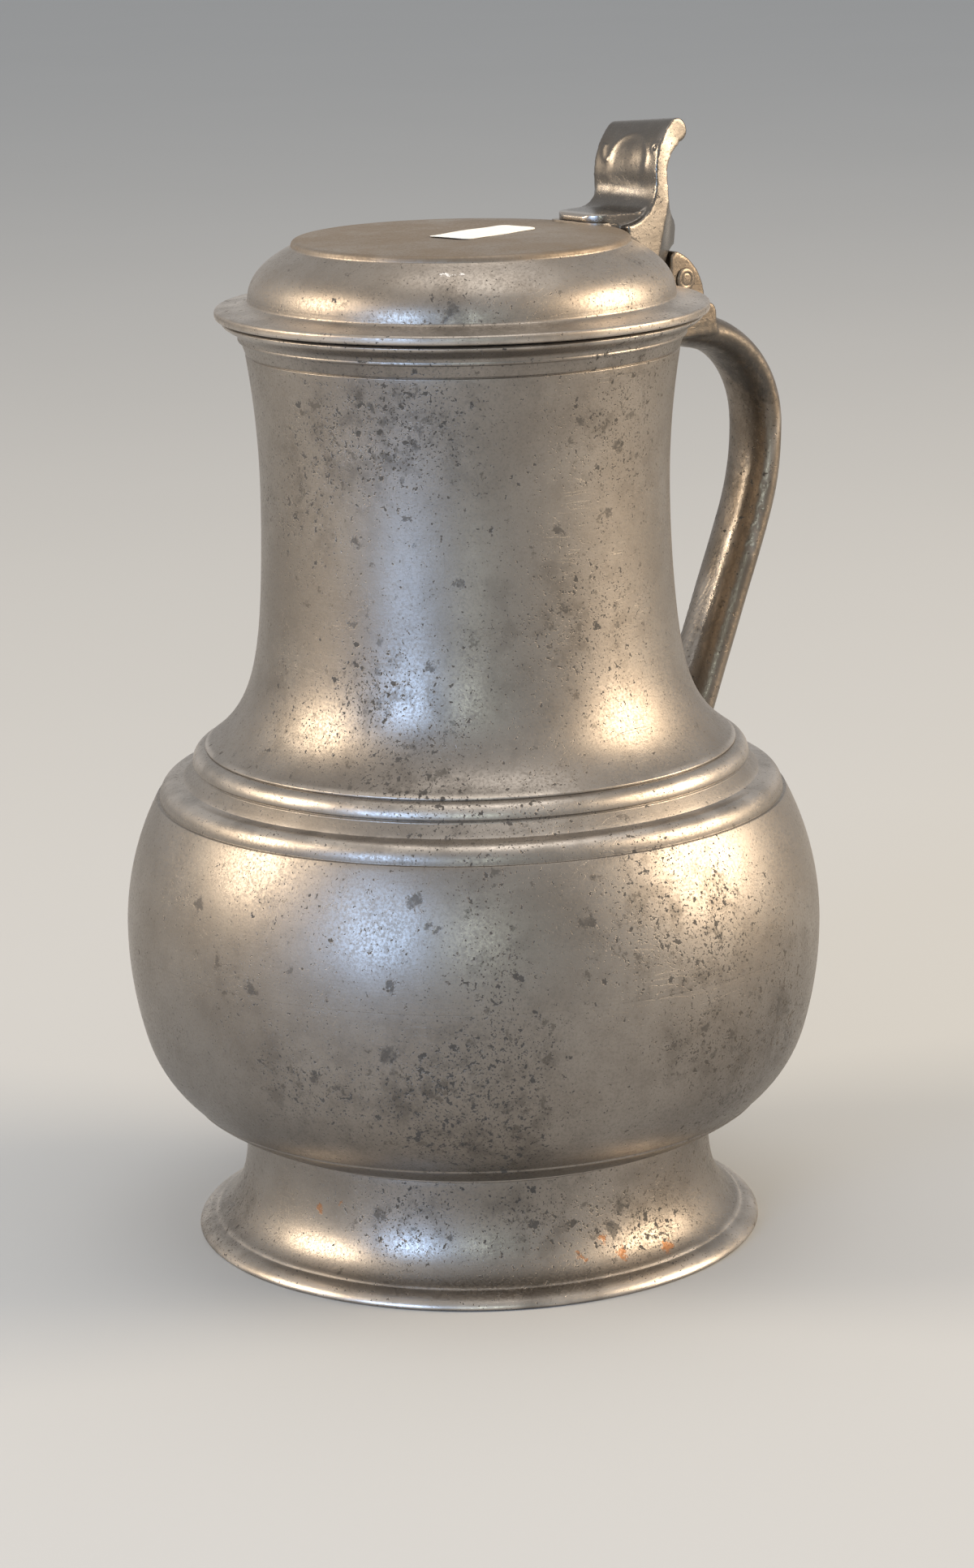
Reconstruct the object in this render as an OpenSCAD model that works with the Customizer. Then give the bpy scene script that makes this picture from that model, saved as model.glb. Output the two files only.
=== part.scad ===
// Lidded pewter flagon: turned baluster body, flared foot, strap handle and a knuckle-hinged lid.
// Millimetres. +Z is up, the origin is on the body's axis where the foot stands,
// and the handle, hinge and thumbpiece lie along +X. The lid turns about a pin along Y.

/* [Foot] */
// Radius of the rim that the flagon stands on
foot_r = 70.3; // [68:0.1:78]
// Height of the turned band round that rim
foot_rim_h = 3.9; // [3:0.1:5]
// Width of the turned band, seen from above
foot_rim_w = 4.1; // [3:0.1:5]
// Radius of the foot's waist, just under the belly
foot_waist_r = 57.8; // [54:0.2:60]
// Wall of the foot
foot_wall = 2.2; // [1.6:0.1:3]

/* [Belly] */
// Radius of the belly where it is widest
belly_r = 85.7; // [84:0.1:88]
// Height of the widest line above the bench
belly_z = 78; // [77.5:0.1:82]
// Radius of the gentle curve just under the widest line
belly_side_curve = 95; // [90:1:105]
// Depth of that gentle curve
belly_side_drop = 26; // [24:0.5:28]
// Radius of the turn that brings the belly in to the waist
belly_turn_curve = 33; // [30:0.1:33.3]
// Radius of the belly's curve above the widest line
belly_top_curve = 70; // [65:1:80]
// Height from the widest line to the shoulder mouldings
belly_top_h = 32.9; // [30:0.1:35]
// Wall of the belly
belly_wall = 2.3; // [1.8:0.1:3]
// How far in from the widest line the turned line on the belly's underside lies
under_line_in = 14.7; // [12:0.1:18]
// Radius of the hole in the underside that the bottom disc closes
bottom_r = 50; // [44:1:52]
// Thickness of the bottom disc
bottom_t = 2.4; // [1.8:0.1:3.2]

/* [Shoulder] */
// Step in from the belly to the lower round band
shoulder_step = 0.8; // [0.4:0.1:1.4]
// Width of the lower round band
lower_band_w = 3.9; // [3:0.1:5]
// Height of the lower round band
lower_band_h = 4.6; // [4:0.1:6]
// Width of the hollow between the two bands
hollow_w = 4.4; // [3.5:0.1:5]
// Height of the hollow between the two bands
hollow_h = 3.4; // [3:0.1:5]
// Height of the groove cut between the hollow and the upper band
groove_h = 0.7; // [0.4:0.1:1]
// Width of the upper round band
upper_band_w = 3.6; // [3:0.1:4.4]
// Height of the upper round band
upper_band_h = 3.9; // [3.5:0.1:5]

/* [Neck] */
// Radius of the neck where it is narrowest
neck_r = 49.6; // [48:0.2:52]
// Height from the shoulder joint to the narrowest place
neck_waist_h = 62.5; // [55:0.5:70]
// Height from the narrowest place to the incised line under the lip
neck_rise = 33.5; // [28:0.5:40]
// How far the neck has opened out at that line
neck_opening = 2.8; // [2:0.1:4]
// Gentle part of the neck's spread towards the shoulder
neck_sweep = 5.9; // [4:0.1:8]
// How sharply the rest of that spread turns out at its foot
neck_turn_power = 8; // [6:1:10]
// How far the foot of the neck overhangs the shoulder
neck_overhang = 0.4; // [0.2:0.1:0.8]
// Wall of the neck
neck_wall = 2.2; // [1.8:0.1:2.4]

/* [Lip] */
// Height of the lip above the incised line
lip_h = 8.3; // [7:0.1:10]
// Radius of the lip at its top
lip_r = 58; // [57:0.1:59]
// Radius of the mouth
mouth_r = 53.4; // [52.6:0.1:54.4]
// Radius of the fine bead round the lip
lip_bead_r = 0.55; // [0.4:0.05:0.8]

/* [Lid] */
// Gap between the closed lid and the lip
lid_gap = 0.4; // [0.3:0.1:0.8]
// Radius of the lid's flange
lid_r = 59.6; // [59:0.1:60.4]
// Thickness of the flange at its edge
flange_t = 2.3; // [2:0.1:3]
// How far the flange climbs from its edge to the dome
flange_rise = 1.6; // [1:0.1:2.4]
// Radius of the dome where it leaves the flange
dome_r = 51.6; // [51:0.1:53]
// Height of the dome above the flange
dome_h = 12.7; // [11:0.1:15]
// Radius of the raised disc on top
disc_r = 40.9; // [39:0.1:42]
// Height of the disc's edge above the dome
disc_step = 1.6; // [1.2:0.1:2]
// Rise of the disc from its edge to its middle
disc_crown = 0.8; // [0.4:0.1:1.6]
// Wall of the lid
lid_wall = 2.1; // [1.6:0.1:2.4]
// Outside radius of the ring that keeps the lid in the mouth
bezel_r = 50.2; // [49.8:0.1:50.4]
// Wall of that ring
bezel_t = 1.8; // [1.2:0.1:2.4]
// How far the ring reaches into the mouth
bezel_depth = 5; // [4:0.2:6]

/* [Handle] */
// Thickness of the handle's oval bar
handle_t = 9; // [8:0.2:10]
// Width of the handle's oval bar
handle_w = 17; // [16:0.2:20]
// Distance from the axis to the end of the handle's upper arm
handle_arm_x = 76.3; // [75:0.1:78]
// Depth of that end below the top of the lip
handle_arm_drop = 11.6; // [11:0.1:14]
// Fall of the upper arm, in degrees
handle_arm_fall = 11; // [8:1:14]
// Radius of the handle's upper bend
handle_bend_r = 26.2; // [25:0.1:30]
// Radius of the long bend below it
handle_back_r = 64; // [55:1:80]
// How far in from the ridge of the shoulder's lower band the handle's middle line lands
handle_foot_in = 1.7; // [0:0.1:4]

/* [Hinge] */
// Distance from the axis to the hinge pin
pin_x = 64.9; // [64.6:0.1:65.6]
// Height of the pin above the top of the lip
pin_rise = 3; // [2.4:0.1:3.4]
// Radius of the pin
pin_r = 1.8; // [1.4:0.1:2.2]
// Running clearance round the pin
pin_clear = 0.05; // [0.02:0.01:0.1]
// Width across the two ears
hinge_w = 18; // [17:0.2:20]
// Width of the knuckle between the ears
knuckle_w = 9.6; // [8:0.2:11]
// Radius of the knuckle
knuckle_r = 5.2; // [4.6:0.1:5.6]
// Side gap between the knuckle and an ear
hinge_gap = 0.4; // [0.3:0.05:0.6]
// Radius of the ears' rounded top and back
ear_r = 13.7; // [12.8:0.1:14.4]
// How far that round's middle lies in front of the pin
ear_forward = 6.9; // [6.4:0.1:7.4]
// How far it lies below the pin
ear_below = 5.8; // [5.2:0.1:6.4]
// Distance from the pin to the ears' front faces
ear_front = 4.7; // [4.3:0.1:4.8]
// Size of the cut across the ears' front top corners
ear_slant = 1.9; // [1:0.1:2.4]
// Drop from the top of the lip to the shelf behind the ears
shelf_drop = 3.5; // [3.2:0.1:4]
// Radius of the shelf's rounded back edge
shelf_r = 2.4; // [1.8:0.1:3]
// Radius of the caps that close the pin's ends
cap_r = 3; // [2.4:0.1:3.6]
// Thickness of the caps
cap_t = 0.7; // [0.4:0.1:1.2]

/* [Thumbpiece] */
// Width of the thumbpiece
thumb_w = 23.2; // [20:0.2:26]
// Thickness of the blade
thumb_t = 3.8; // [3.2:0.1:4.2]
// Distance from the axis to the blade's front
thumb_x = 53.3; // [53:0.1:54.4]
// Height above the lid's disc at which the blade stands clear of its seat
thumb_foot_h = 9; // [8.6:0.2:10]
// Length of the blade's straight part
thumb_straight = 0.4; // [0.2:0.2:3]
// Radius of the hollow where the thumb rests
thumb_seat_r = 10.3; // [9.6:0.1:10.6]
// Radius of the blade's backward curl
thumb_curl_r = 17.5; // [15:0.5:20]
// Turn of the curl, in degrees
thumb_curl = 50; // [45:1:58]
// Radius of the roll along the blade's top
thumb_roll_r = 3; // [2.6:0.1:3.2]
// Sideways lean of the blade, in degrees
thumb_lean = 5; // [0:1:7]
// Distance from the axis to the tip of the tongue on the disc
tongue_tip_x = 36; // [33:0.2:37]
// Width of the tongue
tongue_w = 17.4; // [14:0.2:20]
// Thickness of the tongue on the disc
tongue_t = 2.1; // [1.6:0.1:2.8]

/* [Solder] */
// Thickness of the solder layers
solder_t = 0.4; // [0.3:0.05:0.6]
// How far a fillet of solder spreads round its joint
fillet_w = 1.3; // [1:0.1:2]

/* [Hidden] */
$fn = 96;
// Overrun of cutting shapes past the faces that they open
overrun = 1;
// Overlap where two runs of one bar are fused
bar_lap = 0.1;
// Every second run is larger by this step, so that its faces stay clear of the next run's
bar_step = 0.04;
// Points along each curve of a profile
curve_steps = 14;
// Points round the handle's section
bar_steps = 28;

// Points on an oval about a centre, with half-axes rx and rz
function oval(centre, rx, rz, from, to, steps = curve_steps) =
    [for (i = [0 : steps]) let (a = from + (to - from) * i / steps)
        centre + [rx * cos(a), rz * sin(a)]];

// Points on an arc about a centre, from one angle to another
function arc(centre, r, from, to, steps = curve_steps) = oval(centre, r, r, from, to, steps);

// Points on a cubic curve from a to d that sets out towards b and arrives from c
function sweep(a, b, c, d, steps = curve_steps) =
    [for (i = [0 : steps]) let (t = i / steps, s = 1 - t)
        s ^ 3 * a + 3 * s ^ 2 * t * b + 3 * s * t ^ 2 * c + t ^ 3 * d];

// A path moved sideways by d, to the left of the way that it runs
function shifted(path, d) =
    [for (i = [0 : len(path) - 1])
        let (a = path[max(i - 1, 0)], b = path[min(i + 1, len(path) - 1)], h = (b - a) / norm(b - a))
            path[i] + d * [-h[1], h[0]]];

function reversed(path) = [for (i = [len(path) - 1 : -1 : 0]) path[i]];

half_turn = 180;

// Heights and corners that several pieces share
shoulder_z = belly_z + belly_top_h;
belly_top_centre = [belly_r - belly_top_curve, belly_z];
belly_top_end = belly_top_centre + [sqrt(belly_top_curve ^ 2 - belly_top_h ^ 2), belly_top_h];
ridge = belly_top_end + [-shoulder_step - lower_band_w, lower_band_h];
hollow_end = ridge + [-hollow_w, hollow_h];
joint = hollow_end + [-upper_band_w, groove_h + upper_band_h];
neck_waist_z = joint[1] + neck_waist_h;
line_z = neck_waist_z + neck_rise;
line_r = neck_r + neck_opening;
lip_z = line_z + lip_h;
lid_z = lip_z + lid_gap;
dome_z = lid_z + flange_t + flange_rise;
disc_z = dome_z + dome_h + disc_step;
pin_z = lip_z + pin_rise;

// Belly: a gentle curve under the widest line, then a tighter turn in to the waist
side_angle = asin(belly_side_drop / belly_side_curve);
side_centre = [belly_r - belly_side_curve, belly_z];
turn_centre = side_centre + (belly_side_curve - belly_turn_curve) * [cos(side_angle), -sin(side_angle)];
// Angle on a turn of radius r where it stands at distance x from the axis
function turn_angle(x, r) = -acos((x - turn_centre[0]) / r);
// The solder joint at the waist reaches from the foot's inside to this radius
waist_joint_r = foot_waist_r + fillet_w;
under_line_r = belly_r - under_line_in;
under_band_t = 0.35;
band_curve = belly_turn_curve + under_band_t;
belly_under = arc(turn_centre, belly_turn_curve, turn_angle(bottom_r, belly_turn_curve),
    turn_angle(foot_waist_r - foot_wall, belly_turn_curve), 4);
belly_joint = arc(turn_centre, belly_turn_curve, turn_angle(foot_waist_r - foot_wall, belly_turn_curve),
    turn_angle(waist_joint_r, belly_turn_curve), 4);
// The foot reaches up to the solder under the belly
foot_h = belly_joint[0][1] - solder_t;
belly_turn = concat(
    arc(turn_centre, band_curve, turn_angle(waist_joint_r, band_curve),
        turn_angle(under_line_r, band_curve), 8),
    arc(turn_centre, belly_turn_curve, turn_angle(under_line_r, belly_turn_curve), -side_angle));
belly_side = arc(side_centre, belly_side_curve, -side_angle, 0);
inner_turn_curve = belly_turn_curve - belly_wall;
belly_inside = concat(
    arc(turn_centre, inner_turn_curve, turn_angle(bottom_r, inner_turn_curve), -side_angle),
    arc(side_centre, belly_side_curve - belly_wall, -side_angle, 0));
// The upper half has a spigot that laps inside the lower half
belly_lap = 3;
belly_lap_r = belly_r - belly_wall / 2;
belly_over = arc(belly_top_centre, belly_top_curve, 0, asin(belly_top_h / belly_top_curve));

// Foot: a turned rim band, then a hollow flare up to the waist
foot_edge = 0.6;
foot_rest_w = 6;
foot_line = [foot_r - foot_rim_w, foot_rim_h];
foot_line_step = 0.45;
flare_h = foot_h - foot_rim_h;
flare_w = foot_line[0] - foot_waist_r;
flare_out_share = 0.41;
flare_up_shares = [0.11, 0.36, 0.84];
foot_band = sweep([foot_r, foot_edge], [foot_r, foot_rim_h / 2],
    foot_line + [foot_rim_w / 2, -foot_edge], foot_line, 6);
foot_flare = sweep(
    foot_line + [-foot_line_step, foot_line_step],
    [foot_waist_r + flare_w * flare_out_share, foot_rim_h + flare_h * flare_up_shares[0]],
    [foot_waist_r, foot_rim_h + flare_h * flare_up_shares[1]],
    [foot_waist_r, foot_rim_h + flare_h * flare_up_shares[2]]);

// Shoulder: a round band, a hollow, a cut groove and a second round band
groove_deep = 0.45;
shoulder_outside = concat(
    oval([ridge[0], shoulder_z], lower_band_w, lower_band_h, 0, 90, 8),
    oval([ridge[0], hollow_end[1]], -hollow_w, -hollow_h, 90, 0, 8),
    [hollow_end + [-groove_deep, groove_h / 2]],
    oval([joint[0], hollow_end[1] + groove_h], upper_band_w, upper_band_h, 0, 90, 8));

// Neck: narrowest at its waist, swept out to the shoulder and opening a little to the lip
neck_edge = 0.5;
neck_foot_r = joint[0] + neck_overhang;
neck_flare = neck_foot_r - neck_r - neck_sweep;
function neck_share(z) = z < neck_waist_z ? (neck_waist_z - z) / (neck_waist_h - neck_edge)
    : (z - neck_waist_z) / neck_rise;
function neck_out(z) = let (s = neck_share(z))
    z < neck_waist_z ? neck_r + neck_sweep * s ^ 2 + neck_flare * s ^ neck_turn_power
        : neck_r + neck_opening * s ^ 2;
function neck_slope(z) = let (s = neck_share(z))
    z < neck_waist_z
        ? (2 * neck_sweep * s + neck_turn_power * neck_flare * s ^ (neck_turn_power - 1)) / neck_waist_h
        : 2 * neck_opening * s / neck_rise;
function neck_in(z) = neck_out(z) - neck_wall * sqrt(1 + neck_slope(z) ^ 2);
neck_steps = 34;
neck_heights = [for (i = [0 : neck_steps])
    joint[1] + neck_edge + (line_z - joint[1] - neck_edge) * (1 - cos(90 * i / neck_steps))];
neck_outside = [for (z = neck_heights) [neck_out(z), z]];
neck_inside = [for (z = neck_heights) [neck_in(z), z]];

// Lip: an incised line, a fine bead and a flare with a rounded edge
line_deep = 0.35;
line_high = 0.5;
lip_edge = 0.5;
bead_share = 0.46;
bead_centre = [line_r + (lip_r - line_r) * bead_share * bead_share, line_z + lip_h * bead_share];
bead_turn = [-110, 40];
lip_outside = concat(
    [[line_r - line_deep, line_z + line_high / 2], [line_r, line_z + line_high]],
    arc(bead_centre, lip_bead_r, bead_turn[0], bead_turn[1], 6),
    sweep(bead_centre + [lip_bead_r, lip_bead_r],
        bead_centre + [lip_bead_r, lip_h / 4],
        [lip_r - lip_edge, lip_z - lip_h / 4],
        [lip_r, lip_z - lip_edge], 8),
    [[lip_r - lip_edge, lip_z]]);
lip_inside = sweep([neck_in(line_z), line_z], [neck_in(line_z), line_z + lip_h / 3],
    [mouth_r, lip_z - lip_h / 2], [mouth_r, lip_z - lip_edge], 8);

// Outline that the vessel fills, for whatever is fitted against it
vessel_outside = concat(belly_under, belly_joint, belly_turn, belly_side, belly_over,
    shoulder_outside, [[neck_foot_r, joint[1]]], neck_outside, lip_outside);

// Lid: flange, dome and raised disc
flange_edge = 0.7;
disc_edge = 0.6;
dome_w = dome_r - disc_r;
dome_side_share = 0.54;
dome_top_shares = [0.46, 0.2];
disc_steps = 6;
dome = sweep([dome_r, dome_z], [dome_r, dome_z + dome_h * dome_side_share],
    [disc_r + dome_w * dome_top_shares[0], dome_z + dome_h * (1 - dome_top_shares[1])],
    [disc_r, dome_z + dome_h]);
// Top of the lid from the dome's root to the middle, moved outwards by raise
function lid_top(raise) = concat(
    [for (p = shifted(dome, -raise)) if (p[0] > disc_r + raise) p],
    [[disc_r + raise, dome_z + dome_h + raise], [disc_r + raise, disc_z - disc_edge + raise]],
    [for (i = [0 : disc_steps]) let (s = 1 - i / disc_steps)
        [(disc_r - disc_edge + raise) * s, disc_z + raise + disc_crown * (1 - s ^ 2)]]);
flange = concat(
    [[lid_r - flange_edge, lid_z], [lid_r, lid_z + flange_edge],
        [lid_r, lid_z + flange_t - flange_edge], [lid_r - flange_edge, lid_z + flange_t]],
    sweep([lid_r - flange_edge * 2, lid_z + flange_t],
        [dome_r + flange_rise * 2, lid_z + flange_t + flange_rise / 3],
        [dome_r + flange_rise / 2, lid_z + flange_t + flange_rise / 2],
        [dome_r, dome_z], 8));
bezel_seat = 1.6;

// Handle: the bar's middle line runs arm, bend, back and leg
arm_end = [handle_arm_x, lip_z - handle_arm_drop];
bend_centre = arm_end - handle_bend_r * [sin(handle_arm_fall), cos(handle_arm_fall)];
back_centre = bend_centre + [handle_bend_r - handle_back_r, 0];
// The leg leans so that it runs straight from the back bend to its place on the shoulder
handle_foot = ridge - [handle_foot_in, 0] - back_centre;
handle_lean = atan2(-handle_foot[1], handle_foot[0]) - acos(handle_back_r / norm(handle_foot));
leg_start = back_centre + handle_back_r * [cos(handle_lean), -sin(handle_lean)];
leg_len = (leg_start[1] - shoulder_z) / cos(handle_lean) + handle_t * 2;

// Hinge block and ears on the handle, seen from the side
shelf_z = lip_z - shelf_drop;
shelf_in = 0.6;
shelf_centre = [handle_arm_x - shelf_in - shelf_r, shelf_z - shelf_r];
slot_floor = pin_z - knuckle_r - hinge_gap * 2;
ear_centre = [pin_x - ear_forward, pin_z - ear_below];
ear_front_x = pin_x - ear_front;
ear_top_z = ear_centre[1] + sqrt(ear_r ^ 2 - (ear_front_x - ear_centre[0]) ^ 2);
ear_side = concat(
    [[ear_front_x, arm_end[1]], [ear_front_x, ear_top_z - ear_slant]],
    arc(ear_centre, ear_r, acos((ear_front_x + ear_slant - ear_centre[0]) / ear_r), 0),
    [[ear_centre[0] + ear_r, arm_end[1]]]);
// Whatever passes the ears on the lid keeps this far from the pin
ear_reach = max([for (p = ear_side) if (p[1] > pin_z) norm(p - [pin_x, pin_z])]);
sweep_r = ear_reach + hinge_gap * 2;
sweep_w = hinge_w + hinge_gap * 4;

// Thumbpiece, seen from the side: seat, blade, roll, back, heel and underside
tongue_top = disc_z + solder_t + tongue_t;
underside_z = dome_z + flange_rise;
blade_foot_z = disc_z + thumb_foot_h;
blade_top_z = blade_foot_z + thumb_straight;
curl_centre = [thumb_x + thumb_curl_r, blade_top_z];
roll_centre = curl_centre + (thumb_curl_r - thumb_roll_r) * [-cos(thumb_curl), sin(thumb_curl)];
back_x = thumb_x + thumb_t;
back_curl_r = thumb_curl_r / 2;
back_curl = 60;
heel_forward = 1.1;
heel_h = 3.4;
heel = [pin_x - heel_forward, pin_z + sweep_r];
seat_centre = [thumb_x - thumb_seat_r, blade_foot_z];
blade_side = concat(
    [[seat_centre[0], underside_z]],
    arc(seat_centre, thumb_seat_r, -90, 0),
    arc(curl_centre, thumb_curl_r, half_turn, half_turn - thumb_curl),
    arc(roll_centre, thumb_roll_r, half_turn - thumb_curl, -90),
    arc([back_x + back_curl_r, blade_top_z], back_curl_r, half_turn - back_curl, half_turn),
    sweep([back_x, blade_foot_z - thumb_t], [back_x, disc_z], heel + [-heel_h / 4, heel_h * 2],
        heel + [0, heel_h]),
    [heel, [heel[0], pin_z], [pin_x - knuckle_r / 2, pin_z], [pin_x - knuckle_r, underside_z]]);
// The blade's lower back is cut away on both sides, less and less towards the top
taper_turn = 32.2;
taper_tilt = 10.4;
taper_low = 4.9;
taper_high = 4.5;

// Tongue: its rise into the blade seen from the side, and its outline on the disc
tongue_bevel = 0.7;
tongue_corner = 3;
tongue_side_in = 1.2;
tongue_wide_share = 0.6;
tongue_wide_x = disc_r + (thumb_x - disc_r) * tongue_wide_share;
tongue_fill_r = thumb_seat_r * tongue_wide_share;
tongue_end_x = thumb_x + tongue_bevel;
tongue_side = concat(
    [[tongue_tip_x, underside_z], [tongue_tip_x, tongue_top - tongue_bevel],
        [tongue_tip_x + tongue_bevel, tongue_top]],
    arc([thumb_x - tongue_fill_r, tongue_top + tongue_fill_r], tongue_fill_r, -90, 0),
    [[tongue_end_x, tongue_top + tongue_fill_r], [tongue_end_x, underside_z]]);
function tongue_plan(grow) =
    let (w = tongue_w / 2 + grow, wide = thumb_w / 2 - tongue_side_in + grow,
        corner = [tongue_tip_x - grow + tongue_corner, w - tongue_corner])
        concat([[tongue_end_x, -wide], [tongue_end_x, wide], [tongue_wide_x, wide], [disc_r, w]],
            arc(corner, tongue_corner, 90, half_turn, 6),
            arc([corner[0], -corner[1]], tongue_corner, half_turn, half_turn + 90, 6),
            [[disc_r, -w], [tongue_wide_x, -wide]]);

module revolve(outline) {
    rotate_extrude(convexity = 8) polygon(outline);
}

// A flat outline in the plane of the handle, given as [x, z] points, w wide across it
module across(w) {
    translate([0, w / 2, 0]) rotate([90, 0, 0]) linear_extrude(w) children();
}

// A round bar along the hinge line
module hinge_round(r, w) {
    translate([pin_x, 0, pin_z]) rotate([90, 0, 0]) cylinder(h = w, r = r, center = true);
}

// The vessel as if it were solid, to cut the handle's ends to it
module vessel_block() {
    revolve(concat([[0, belly_under[0][1]]], vessel_outside, [[0, lip_z]]));
}

// The lid's upper side as a solid, moved outwards by raise
module lid_block(raise) {
    revolve(concat([[0, dome_z - overrun], [dome_r + raise, dome_z - overrun]], lid_top(raise)));
}

module foot() {
    color("lightslategray") revolve(concat(
        [[foot_r - foot_rest_w, 0], [foot_r - foot_edge, 0]],
        foot_band, foot_flare,
        [[foot_waist_r, foot_h], [foot_waist_r - foot_wall, foot_h]],
        reversed(shifted(foot_flare, foot_wall))));
}

// The turned ring of solder that joins the foot to the belly
module foot_solder() {
    color("silver") revolve(concat(
        [[foot_waist_r - foot_wall, foot_h], [foot_waist_r + solder_t, foot_h],
            [waist_joint_r, foot_h + solder_t]],
        reversed(belly_joint)));
}

module belly_lower() {
    color("darkgray") revolve(concat(
        belly_under, belly_joint, belly_turn, belly_side,
        [[belly_lap_r, belly_z], [belly_lap_r, belly_z - belly_lap],
            [belly_r - belly_wall, belly_z - belly_lap]],
        reversed([for (p = belly_inside) if (p[1] < belly_z - belly_lap) p])));
}

module bottom_disc() {
    color("gray") translate([0, 0, belly_under[0][1]]) cylinder(h = bottom_t, r = bottom_r);
}

module belly_upper() {
    inner_curve = belly_top_curve - belly_wall;
    inner_share = 0.84;
    inner_angle = asin(belly_top_h * inner_share / inner_curve);
    inner_low = belly_top_centre + inner_curve * [cos(inner_angle), sin(inner_angle)];
    neck_end = [neck_in(joint[1] + neck_edge), joint[1]];
    reach = (joint[1] - inner_low[1]) / 3;
    color("silver") revolve(concat(
        [[belly_r - belly_wall, belly_z - belly_lap], [belly_lap_r, belly_z - belly_lap],
            [belly_lap_r, belly_z]],
        belly_over, shoulder_outside,
        reversed(concat(
            arc(belly_top_centre, inner_curve, 0, inner_angle),
            sweep(inner_low, inner_low + reach * [-sin(inner_angle), cos(inner_angle)],
                neck_end + reach * [1, -1], neck_end)))));
}

module neck() {
    color("gainsboro") revolve(concat(
        [[neck_foot_r, joint[1]]], neck_outside, lip_outside,
        [[mouth_r + lip_edge, lip_z]], reversed(lip_inside), reversed(neck_inside),
        [[neck_in(joint[1] + neck_edge), joint[1]]]));
}

// The handle's oval section, made larger all round by grow
function bar(grow) =
    oval([0, 0], handle_t / 2 + grow, handle_w / 2 + grow, 0, 360 - 360 / bar_steps, bar_steps - 1);

module bar_arm(grow) {
    translate([arm_end[0], 0, arm_end[1]]) rotate([0, handle_arm_fall - 90, 0])
        translate([0, 0, -bar_lap]) linear_extrude(handle_arm_x - neck_r) polygon(bar(grow));
}

module bar_bend(centre, r, from, turn, grow) {
    translate([centre[0], 0, centre[1]]) rotate([90, 0, 0]) rotate([0, 0, from])
        rotate_extrude(angle = turn) translate([r, 0]) polygon(bar(grow));
}

module bar_leg(grow) {
    translate([leg_start[0], 0, leg_start[1]]) rotate([0, half_turn + handle_lean, 0])
        translate([0, 0, -bar_lap]) linear_extrude(leg_len) polygon(bar(grow + bar_step));
}

module handle_bar() {
    lap_angle = bar_lap / handle_back_r * half_turn / PI;
    bar_arm(0);
    bar_bend(bend_centre, handle_bend_r, 0, 90 - handle_arm_fall, bar_step);
    bar_bend(back_centre, handle_back_r, -handle_lean, handle_lean + lap_angle, 0);
    bar_leg(0);
}

// The block behind the lip that carries the two ears
module hinge_block() {
    across(hinge_w) union() {
        polygon(concat([[neck_r, arm_end[1]], [handle_arm_x, arm_end[1]]],
            arc(shelf_centre, shelf_r, 0, 90, 8), [[neck_r, shelf_z]]));
        polygon(ear_side);
    }
}

module handle() {
    color("darkkhaki") difference() {
        union() {
            handle_bar();
            hinge_block();
        }
        vessel_block();
        // Room over the lip for the flange of the lid
        translate([0, 0, lip_z - lid_gap]) cylinder(h = ear_r * 3, r = lid_r + lid_gap);
        // Slot between the ears for the knuckle
        translate([neck_r, -knuckle_w / 2 - hinge_gap, slot_floor])
            cube([handle_bend_r * 2, knuckle_w + hinge_gap * 2, ear_r * 3]);
        hinge_round(pin_r, hinge_w + overrun);
    }
}

module handle_top_solder() {
    collar_low = arm_end[1] - handle_t;
    collar = [for (i = [0 : 8]) let (z = collar_low + (line_z - collar_low) * i / 8) [neck_out(z), z]];
    color("silver") difference() {
        intersection() {
            union() {
                bar_arm(fillet_w);
                across(hinge_w + fillet_w * 2)
                    polygon([[neck_r, arm_end[1] - fillet_w], [handle_arm_x, arm_end[1] - fillet_w],
                        [handle_arm_x, shelf_z], [neck_r, shelf_z]]);
            }
            revolve(concat(shifted(collar, fillet_w), reversed(shifted(collar, -fillet_w / 2))));
        }
        vessel_block();
        bar_arm(0);
        hinge_block();
    }
}

module handle_foot_solder() {
    spread_share = 1.5;
    spread = fillet_w * spread_share;
    low = shoulder_z - handle_t;
    color("silver") difference() {
        intersection() {
            bar_leg(fillet_w);
            revolve([[joint[0], low], [belly_top_end[0] + spread * 2, low],
                belly_top_end + [spread, 0], joint + [spread, spread], joint + [0, spread * 2]]);
        }
        vessel_block();
        bar_leg(0);
    }
}

module hinge_pin() {
    color("dimgray") hinge_round(pin_r, hinge_w);
}

module pin_caps() {
    color("khaki") for (side = [-1, 1])
        translate([pin_x, side * hinge_w / 2, pin_z]) rotate([-90 * side, 0, 0])
            cylinder(h = cap_t, r1 = cap_r, r2 = cap_r - cap_t / 2);
}

module lid() {
    ceiling = [for (p = shifted(dome, lid_wall)) if (p[1] > lid_z + bezel_seat) p];
    color("tan") difference() {
        revolve(concat([[0, lid_z]], flange, lid_top(0)));
        revolve(concat(
            [[0, lid_z - overrun], [bezel_r, lid_z - overrun], [bezel_r, lid_z + bezel_seat],
                [dome_r - lid_wall, lid_z + bezel_seat]],
            ceiling, [[0, disc_z - lid_wall]]));
        hinge_round(sweep_r, sweep_w);
    }
}

module lid_bezel() {
    color("lightgray") translate([0, 0, lid_z - bezel_depth]) difference() {
        cylinder(h = bezel_depth + bezel_seat, r = bezel_r);
        translate([0, 0, -overrun])
            cylinder(h = bezel_depth + bezel_seat + overrun * 2, r = bezel_r - bezel_t);
    }
}

// Turns what it holds to the blade's sideways lean
module leaned() {
    translate([0, 0, blade_foot_z]) rotate([-thumb_lean, 0, 0]) translate([0, 0, -blade_foot_z]) children();
}

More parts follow.
